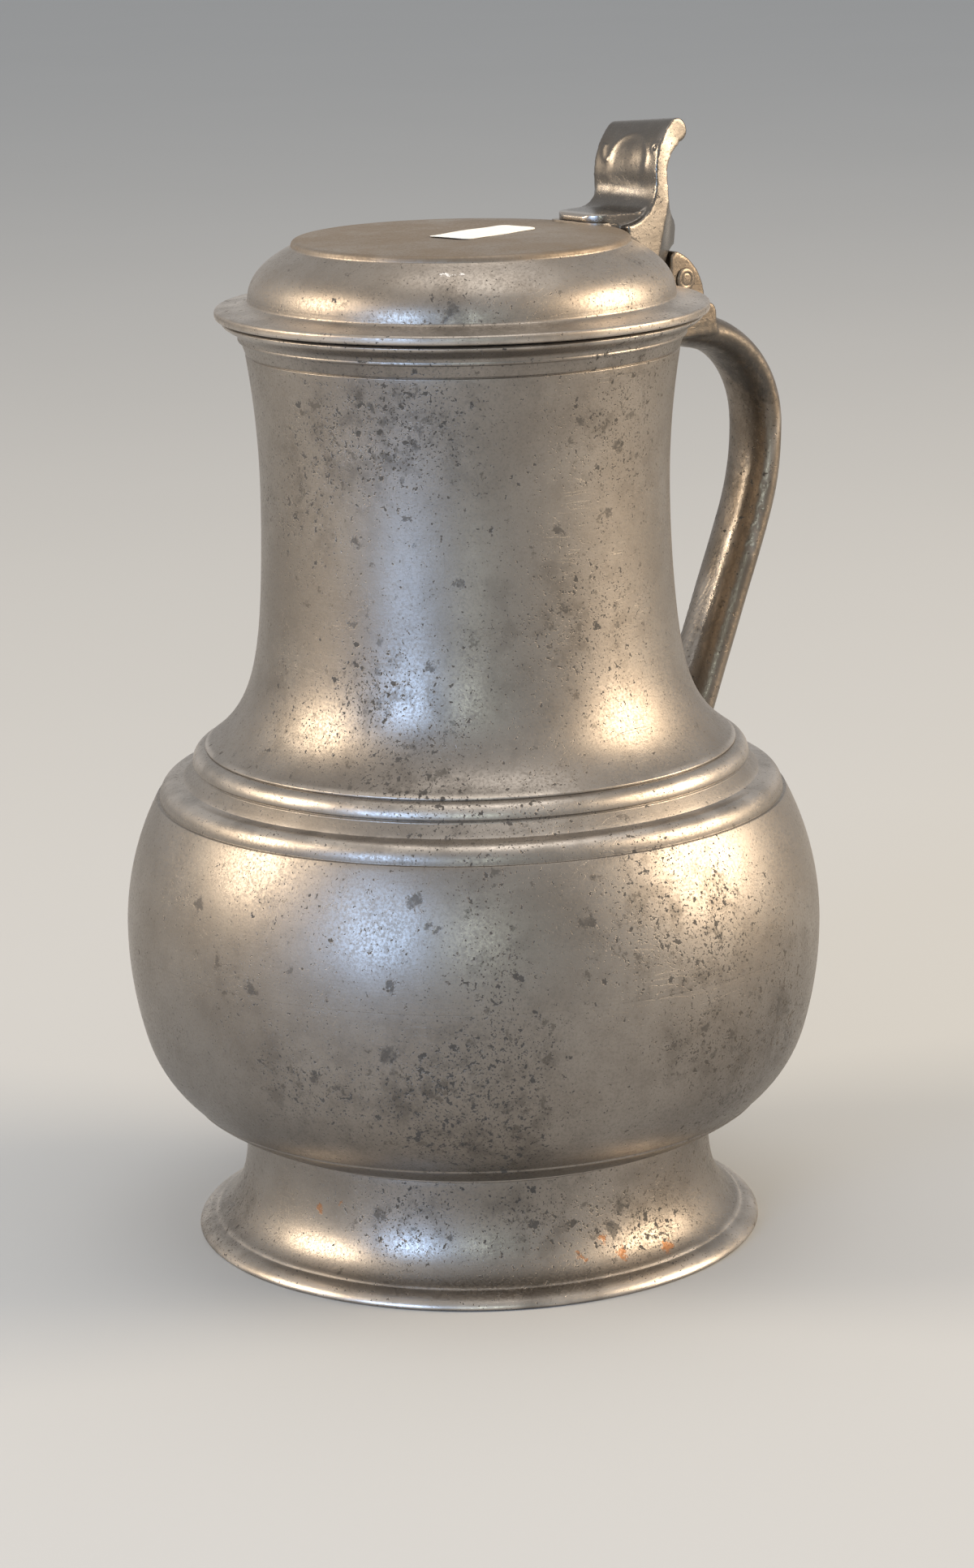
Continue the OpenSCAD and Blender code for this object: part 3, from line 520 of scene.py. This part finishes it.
top_degrees = np.degrees(np.arcsin(top_h / top_curve))
inner_curve = top_curve - belly_wall
inner_angle = np.arcsin(top_h * 0.84 / inner_curve)
inner_low = top_centre + inner_curve * np.array([np.cos(inner_angle), np.sin(inner_angle)])
line_z = 219.5
neck_rise = np.linspace(neck_low, line_z, 160)
neck_path = np.stack([neck_out(neck_rise), neck_rise], axis=1)
neck_bore = moved(neck_path, neck_wall)
neck_end = np.array([neck_bore[0][0], joint[1]])
reach = (joint[1] - inner_low[1]) / 3
upper_outline = outline(
    (belly_r - belly_wall, belly_z - lap), (lap_r, belly_z - lap), (lap_r, belly_z),
    oval(top_centre, top_curve, top_curve, 0, top_degrees),
    oval((band_top[0], shoulder_z), 3.9, 4.6, 0, 90), oval((band_top[0], hollow_end[1]), -4.4, -3.4, 90, 0),
    hollow_end + [-0.45, 0.35], oval((joint[0], hollow_end[1] + 0.7), 3.6, 3.9, 0, 90),
    sweep(inner_low, inner_low + reach * np.array([-np.sin(inner_angle), np.cos(inner_angle)]),
          neck_end + [reach, -reach], neck_end)[::-1],
    oval(top_centre, inner_curve, inner_curve, np.degrees(inner_angle), 0))
shoulder_finish = pewter(
    "shoulder_pewter", *body_greys, rubbed=((114.8, 2.4), (121.8, 2.4)),
    places=((-16, -82, 93, 26), (-50, -68, 86, 16), (-1, -85, 84, 18)),
    spots=((-61.3, -52, 103.9, 1.8), (-60.5, -55.8, 98.5, 1), (-59.2, -57.9, 96.8, 1.3), (-83.5, -18.4, 80.4, 1.6),
           (-67.7, -51.8, 84.4, 1.4), (-83, 1.6, 96, 2), (-30.1, -76.9, 97.4, 1.8)),
    rust=((-22, -78, 98, 0.8), (-12, -80, 96, 0.6)))
fitted(turned("belly_shoulder", worn(upper_outline, 0.1, flush=[(belly_r, belly_z)])),
       shoulder_finish, "vessel", "pewter_body", "belly_upper")

# Neck
# One cast and turned pewter piece, waisted, with an incised line, a fine bead and a flared lip at the mouth.
# It stands on the shoulder's upper band, and the soldered joint has been turned away.
line_r, lip_z, lip_r, mouth_r, lip_edge = 52.4, 227.8, 58, 53.4, 0.5
bead = np.array([line_r + 5.6 * 0.46**2, line_z + 8.3 * 0.46])
neck_outline = outline(
    (neck_foot_r, joint[1]), neck_path, (line_r - 0.35, line_z + 0.25), (line_r, line_z + 0.5),
    oval(bead, 0.55, 0.55, -110, 40, 16),
    sweep(bead + 0.55, bead + [0.55, 2.08], (lip_r - lip_edge, lip_z - 2.08), (lip_r, lip_z - lip_edge)),
    (lip_r - lip_edge, lip_z), (mouth_r + lip_edge, lip_z),
    sweep(neck_bore[-1], neck_bore[-1] + [0, 2.77], (mouth_r, lip_z - 4.15), (mouth_r, lip_z - lip_edge))[::-1],
    neck_bore[::-1], neck_end)
neck_finish = pewter(
    "neck_pewter", *body_greys, rubbed=((227.0, 1.0), (124.2, 0.8)),
    places=((-48, -21, 149, 16), (-50, 0, 190, 30), (-39, -30, 208, 24), (5, -50, 205, 30), (-8, -50, 160, 32)),
    spots=((-47.2, -16.1, 180, 1.7), (-41, -27.9, 186.6, 1), (-40.2, -30.4, 203.9, 1.6), (4.6, -50, 200.5, 1.6),
           (1.1, -49.6, 184.8, 1.5), (-12.6, -48.1, 182.4, 1.6), (-7.3, -50.4, 207.9, 1.7), (-49.2, -15.5, 160.9, 1.7),
           (-51.2, -10.5, 156.4, 1.2), (-51.8, -16.3, 146.5, 1.8), (-48.8, -23.5, 147.1, 2),
           (-40.4, -34.2, 152.5, 1.9), (-29.6, -40.1, 192.3, 0.8), (-36.1, -36, 164.8, 0.9), (-17.5, -53.6, 139.2, 1.5),
           (-34.2, -36.9, 171, 0.9), (0.8, -54.3, 146.5, 1.1), (-45.9, -26.1, 153.5, 1.6), (-38.8, -36.7, 150.5, 1.2),
           (-22, -45, 214, 1.3), (9, -49, 213, 1.2), (14, -48, 209, 1.4), (-5, -51, 170, 1.1), (-12, -49, 164, 1.3),
           (-47, -22, 212, 1.2), (-43, -27, 216, 1.1), (3, -51, 158, 1), (-9, -52, 150, 1.4), (-50, 8, 176, 1.5)))
fitted(turned("waisted_neck", worn(neck_outline, 0.1)), neck_finish, "vessel", "pewter_body", "neck")


# Handle with its hinge block
# One casting in darker, unpolished pewter: an oval bar, and the block with the two ears that carry the pin.
# It has soft edges and an uneven skin, nicks down one side, and a ridge and gouges on the inner face.
# Its finish paints a highlight down the ridge and the lower leg, and a bright line of wear along the side with the
# nicks.
def cast(name, node, voxel, rounds):
    """A casting: a merged copy of the CAD solid, remade in even cells and relaxed so that its edges are soft."""
    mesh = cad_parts[node].data.copy()
    solid = bmesh.new()
    solid.from_mesh(mesh)
    bmesh.ops.remove_doubles(solid, verts=solid.verts, dist=1e-6)
    solid.to_mesh(mesh)
    solid.free()
    mould = bpy.data.objects.new(name, mesh)
    scene.collection.objects.link(mould)
    remade = mould.modifiers.new("cells", "REMESH")
    remade.mode, remade.voxel_size, remade.use_smooth_shade = "VOXEL", voxel * mm, True
    relaxed = mould.modifiers.new("soft", "SMOOTH")
    relaxed.factor, relaxed.iterations = 0.5, rounds
    made = bpy.data.meshes.new_from_object(mould.evaluated_get(bpy.context.evaluated_depsgraph_get()))
    bpy.data.objects.remove(mould)
    made.name = name
    made.materials.clear()
    return made


def points(mesh):
    """A mesh's points and normals in millimetres, as arrays."""
    place, facing = np.zeros(len(mesh.vertices) * 3), np.zeros(len(mesh.vertices) * 3)
    mesh.vertices.foreach_get("co", place)
    mesh.vertices.foreach_get("normal", facing)
    return place.reshape(-1, 3) / mm, facing.reshape(-1, 3)


def pressed(mesh, place, facing, depth):
    """Moves every point of a mesh along its normal by a depth in millimetres."""
    mesh.vertices.foreach_set("co", ((place + facing * depth[:, None]) * mm).ravel())
    mesh.update()
    mesh.shade_smooth()
    return mesh


handle_mesh = cast("strap_handle", "handle", 0.42, 9)
place, facing = points(handle_mesh)
x, y, z = place.T
skin_deep, ridge_y, ridge_half, ridge_high, gouge_high, nick_deep = 0.06, -2.4, 1.9, 0.25, 0.07, 0.3
nicks = ((92.1, -7.7, 169.5), (93.5, -7.4, 175.4), (90.3, -7.8, 164.9), (88.3, -7.7, 160.5), (97.5, -8.2, 199.5))
inner = np.clip(-facing[:, 0] * 2 - 0.6, 0, 1)
uneven = skin_deep * (np.sin(x / 6 + z / 9) * np.sin(y / 5 + z / 7) - 1) * np.clip((x - 76) / 6, 0, 1)
uneven += ridge_high * np.exp(-(((y - ridge_y) / ridge_half) ** 2)) * np.clip((184 - z) / 25, 0, 1) * inner
gouges = np.sin(3.1 * z + 1.9 * y + np.sin(z / 2.3)) * np.sin(2.2 * y - 0.9 * z + 2 * np.sin(z / 3.7))
uneven += gouge_high * gouges * np.clip((162 - z) / 18, 0, 1) * inner * np.clip((y + 1.5) / 1.5, 0, 1)
for nick_x, nick_y, nick_z in nicks:
    uneven -= nick_deep * np.exp(-((x - nick_x) ** 2 + (y - nick_y) ** 2 + (z - nick_z) ** 2) / 0.7)
handle_finish = pewter(
    "handle_pewter", grey(0.21, 0.16), grey(0.16, 0.2), grey(0.07, 0.18), rough=0.27, pits=0.4,
    # The four large spots darken the near side of the handle's upper bend and arm, below the lid.
    spots=((86, -5, 207, 9), (91, -7, 202, 6), (80, -7, 213, 8), (72, -7, 215, 6)),
    places=((86, -5, 207, 18), (92, -7, 202, 14)),
    # The first two lines and the last paint a highlight along the ridge and on the lower leg; the third is edge wear.
    lines=(((92.6, ridge_y, 183), (87.2, ridge_y, 164), 1.6, 0.6),
           ((87.2, ridge_y, 164), (71.9, ridge_y, 128.2), 2.8, 0.75),
           ((99.5, -8, 197), (88, -8.3, 158), 1.6, 0.35), ((82.5, 1.5, 152), (72, 1.5, 128), 4.2, 0.4)),
    turning=0.0, skin=1.3, grit=0.6)
fitted(pressed(handle_mesh, place, facing, uneven), handle_finish, "vessel", "pewter_handle", "handle")

# Solder at the handle's ends
# Thin fillets of solder, run in with the iron where the handle meets the neck and the shoulder.
# They are left as they set, in the same pale grey as the ring round the waist.
for node in ("handle_top_solder", "handle_foot_solder"):
    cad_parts[node].data.materials.clear()
    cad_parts[node].data.materials.append(solder_finish)


# Hinge pin and its caps
# An iron pin goes through both ears and the knuckle between them.
# A round pewter cap is riveted over each end of it.
def on_pin(mesh):
    """Turns a piece made about the upright axis so that it lies along the hinge pin."""
    mesh.transform(Matrix.Translation(pin_place) @ Matrix.Rotation(np.radians(90), 4, "X"))
    return mesh


pin_x, pin_z, pin_r, pin_half, pin_edge = 64.9, 230.8, 1.8, 9.0, 0.3
pin_place = Vector((pin_x * mm, 0, pin_z * mm))
pin_outline = outline(
    (0, -pin_half), oval((pin_r - pin_edge, pin_edge - pin_half), pin_edge, pin_edge, -90, 0, 8),
    oval((pin_r - pin_edge, pin_half - pin_edge), pin_edge, pin_edge, 0, 90, 8), (0, pin_half))
pin_finish = pewter("pin_iron_finish", grey(0.16, 0.04), grey(0.11, 0.25), grey(0.06, 0.1), rough=0.4, pits=0.5,
                    turning=0.0)
fitted(on_pin(turned("iron_pin", worn(pin_outline, 0.1, closed=False), loop=False, columns=64, wear=False)),
       pin_finish, "vessel", "pin_iron", "hinge_pin")
cap_r, cap_t = 3.0, 0.7
cap_outline = outline(
    (0, 0), (cap_r, 0), sweep((cap_r, 0.05), (cap_r, cap_t * 0.7), (cap_r - 0.4, cap_t), (cap_r - 1.1, cap_t), 16),
    (cap_r - 1.4, cap_t - 0.2), sweep((cap_r - 1.6, cap_t - 0.15), (1.5, cap_t), (0.7, cap_t), (0, cap_t), 16))
cap_meshes = []
for side in (-1, 1):
    cap = turned("pin_cap", worn(cap_outline, 0.09, closed=False), loop=False, columns=72, wear=False)
    cap.transform(Matrix.Translation((0, 0, pin_half * mm)))
    if side > 0:
        cap.transform(Matrix.Rotation(np.pi, 4, "X"))
    cap_meshes.append(on_pin(cap))
caps = bmesh.new()
for cap in cap_meshes:
    caps.from_mesh(cap)
caps_mesh = bpy.data.meshes.new("pin_end_caps")
caps.to_mesh(caps_mesh)
caps.free()
caps_mesh.set_sharp_from_angle(angle=crease)
fitted(caps_mesh, handle_finish, "vessel", "pewter_handle", "pin_caps")

# Lid
# A cast pewter lid, turned on the outside: a thin flange that overhangs the lip, a round dome, a low disc on top.
# The flange is cut away behind, where it passes the hinge block.
lid_z, lid_r, flange_t, dome_z, dome_r, dome_h = 228.2, 59.6, 2.3, 232.1, 51.6, 12.7
disc_r, disc_z, disc_crown, lid_wall, bezel_r, bezel_seat = 40.9, 246.4, 0.8, 2.1, 50.2, 1.6
flange_edge, disc_soft = 0.7, 1.2
dome = sweep((dome_r, dome_z), (dome_r, dome_z + 6.86), (45.82, dome_z + 10.16), (disc_r, dome_z + dome_h), 60)
ceiling = moved(dome, lid_wall)
ceiling = ceiling[ceiling[:, 1] > lid_z + bezel_seat]
crown_share = np.linspace(1, 0, 60)
crown = np.stack([(disc_r - disc_soft) * crown_share, disc_z + disc_crown * (1 - crown_share**2)], axis=1)
lid_outline = outline(
    (0, disc_z - lid_wall), (ceiling[-1][0] * 0.98, disc_z - lid_wall), ceiling[::-1],
    (dome_r - lid_wall, lid_z + bezel_seat), (bezel_r, lid_z + bezel_seat), (bezel_r, lid_z),
    oval((lid_r - flange_edge, lid_z + flange_edge), flange_edge, flange_edge, -90, 0, 12),
    oval((lid_r - flange_edge, lid_z + flange_t - flange_edge), flange_edge, flange_edge, 0, 90, 12),
    sweep((lid_r - flange_edge * 2, lid_z + flange_t), (dome_r + 3.2, lid_z + flange_t + 0.53),
          (dome_r + 0.8, lid_z + flange_t + 0.8), (dome_r, dome_z)),
    dome, oval((disc_r - disc_soft, disc_z - disc_soft), disc_soft, disc_soft, 0, 90, 12), crown)
rings = worn(lid_outline, 0.3, closed=False)
hinge_reach, hinge_half, notch_steps, round_steps = 8.59, 9.8, 24, 336
notch_angle = np.arcsin(hinge_half / lid_r)
a = np.concatenate([np.linspace(-notch_angle, notch_angle, notch_steps),
                    np.linspace(notch_angle, 2 * np.pi - notch_angle, round_steps)])
radius, height = rings[:, 0, None], rings[:, 1, None]
rise = np.clip(1 - ((height - pin_z) / hinge_reach) ** 2, 0, 1)
limit = (pin_x - hinge_reach * np.sqrt(rise)) / np.cos(a)
behind = (np.arange(len(a)) < notch_steps)[None, :] & (height < disc_z - 3)
radius = np.where(behind, np.minimum(radius, limit), radius + 0 * a)
lid_grid = np.stack([radius * np.cos(a), radius * np.sin(a), height + 0 * a], axis=-1)
lid_finish = pewter(
    "lid_pewter", grey(0.33, 0.1), grey(0.25, 0.14), grey(0.12, 0.14), pits=0.55,
    spots=((-34.8, -37.5, 235.2, 1.9), (-34.8, -37, 237.6, 0.8), (-28, -43, 236, 0.7)),
    nicks=((-30.5, -32, 242.9, 0.8), (-28, -34, 243, 0.7)), places=((-35, -38, 235, 12), (-40, -20, 231, 14)),
    rubbed=((228.9, 1.0), (231, 1.4)), dust=245.3, turning=1.2)
fitted(surface("domed_lid", knocked(lid_grid), loop_rows=False), lid_finish, "lid_assembly", "pewter_lid", "lid")

# Ring under the lid
# A plain ring of cast pewter, turned all over and soldered into a seat under the lid.
# It drops inside the lip and keeps the lid in the mouth.
bezel_low, bezel_top, bezel_t = 223.2, 229.8, 1.8
bezel_outline = outline((bezel_r - bezel_t, bezel_low), (bezel_r - 0.3, bezel_low), (bezel_r, bezel_low + 0.5),
                        (bezel_r, bezel_top), (bezel_r - bezel_t, bezel_top))
fitted(turned("lid_ring", worn(bezel_outline, 0.12)), lid_finish, "lid_assembly", "pewter_lid", "lid_bezel")

# Thumbpiece
# One casting of a tongue with a rounded end, a blade and a hinge knuckle. Thumbs have polished its front, which
# carries a worn arch in low relief with a soft rib in it, a small scroll on one side and an eyelet on the other.
thumb_mesh = cast("lid_thumbpiece", "thumbpiece", 0.3, 7)
place, facing = points(thumb_mesh)
lean, blade_foot, blade_back = np.radians(5), 255.4, 61
aside = place[:, 1] * np.cos(lean) + (place[:, 2] - blade_foot) * np.sin(lean)
above = (place[:, 2] - blade_foot) * np.cos(lean) - place[:, 1] * np.sin(lean)
front = np.clip(-facing[:, 0] * 2, 0, 1) * (place[:, 0] < blade_back) * np.clip((above + 1) / 1.5, 0, 1)


def ridge(away, wide):
    """A rounded ridge over the distance from its middle line."""
    return np.exp(-((away / wide) ** 2))


arch_middle, arch_half, arch_spring, arch_rise = 0.2, 6.8, 5.5, 5.9
from_middle = aside - arch_middle
over = np.maximum(above - arch_spring, 0) * arch_half / arch_rise
border = np.hypot(from_middle, over) - arch_half
scroll_aside, scroll_above, scroll_r = 7.2, 7.1, 3.1
eyelet_aside, eyelet_above, eyelet_r = -8.4, 9.3, 0.9
scroll = np.hypot(aside - scroll_aside, above - scroll_above) - scroll_r
eyelet = np.hypot(aside - eyelet_aside, above - eyelet_above) - eyelet_r
relief = (0.13 * ridge(border, 0.9) * np.clip((above - 2.5) / 2, 0, 1) - 0.12 * np.clip(-border / 2, 0, 1)
          + 0.16 * ridge(scroll, 0.8) * (aside > scroll_aside + 0.2) * (above < scroll_above + 0.5)
          + 0.18 * ridge(eyelet, 0.5) - 0.25 * ridge(eyelet + eyelet_r, 0.6)
          + 0.1 * ridge(from_middle + 1, 2.2) * ridge(above - 6.5, 3))
tip_x, tip_long, tongue_under = 41.5, 5.5, 245
tip = np.clip((tip_x - place[:, 0]) / tip_long, 0, 1) * (place[:, 2] > tongue_under)
place[:, 1] *= np.sqrt(1 - 0.62 * tip**2)
thumb_finish = pewter("thumbpiece_pewter", grey(0.18, 0.08), grey(0.12, 0.1), grey(0.06, 0.1), rough=0.22, pits=0.35,
                      # Its lines paint a reflection on the seat, a highlight on the tongue's end and one down the
                      # blade's near side.
                      lines=(((53.3, 9, 253), (53.3, -9, 253), 1.8, 0.7), ((36.5, 8, 248.8), (36.5, -8, 248.8), 5, 0.5),
                             ((58, -11.2, 268), (58, -11.2, 240), 4, 0.4)), turning=0.0, skin=0.4, grit=0.3)
fitted(pressed(thumb_mesh, place, facing, relief * front), thumb_finish, "lid_assembly", "pewter_thumbpiece",
       "thumbpiece")

# Solder under the tongue
# A thin bed of solder between the thumbpiece's tongue and the lid.
# It is left as it set, and only its edge shows.
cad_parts["tongue_solder"].data.materials.clear()
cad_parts["tongue_solder"].data.materials.append(solder_finish)

# Paper label
# A blank slip of white paper with rounded corners, gummed to the top of the lid.
# Its ends have begun to lift.
label_long, label_wide, label_t, label_corner = 28.3, 12.4, 0.12, 2.8
label_turn, label_middle, steps_along, steps_across = np.radians(11), (4.2, -3.4), 57, 25
u, v = np.meshgrid(np.linspace(-1, 1, steps_along), np.linspace(-1, 1, steps_across), indexing="ij")
past_corner = np.clip((np.abs(u) * label_long / 2 - label_long / 2 + label_corner) / label_corner, 0, 1)
corner_in = label_corner * (1 - np.sqrt(np.clip(1 - past_corner**2, 0, 1)))
along = u * label_long / 2
wide = v * (label_wide / 2 - corner_in)
x = label_middle[0] + along * np.cos(label_turn) - wide * np.sin(label_turn)
y = label_middle[1] + along * np.sin(label_turn) + wide * np.cos(label_turn)
lid_top = disc_z + disc_crown * (1 - (np.hypot(x, y) / disc_r) ** 2)
lift = 0.15 + 0.5 * np.clip(np.abs(u) - 0.75, 0, 1) ** 2 * 8 + 0.05 * np.sin(along / 3 + wide / 4)
sheet = np.stack([x, y, lid_top + lift], axis=-1)
label_mesh = bpy.data.meshes.new("paper_label")
i, j = np.meshgrid(np.arange(steps_along - 1), np.arange(steps_across - 1), indexing="ij")
corner = i * steps_across + j
faces = np.stack([corner, corner + steps_across, corner + steps_across + 1, corner + 1], axis=-1)
label_mesh.from_pydata((sheet.reshape(-1, 3) * mm).tolist(), [], faces.reshape(-1, 4).tolist())
label_mesh.shade_smooth()
shader, here = new_finish("label_paper")
fibre = here.noise(900, 4.0)
feed(shader, Base_Color=fibre.step(0.35, 0.7).mix((0.8, 0.78, 0.74, 1), (0.87, 0.86, 0.83, 1)), Roughness=0.8,
     Normal=here.node("Bump", {}, {"Height": fibre, "Strength": 0.2, "Distance": 0.0001}))
label = bpy.data.objects.new("paper_label", label_mesh)
scene.collection.objects.link(label)
label_mesh.materials.append(here.material)
thick = label.modifiers.new("thickness", "SOLIDIFY")
thick.thickness, thick.offset = label_t * mm, -1
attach(label, "lid_assembly")

scene.view_settings.view_transform = "Standard"
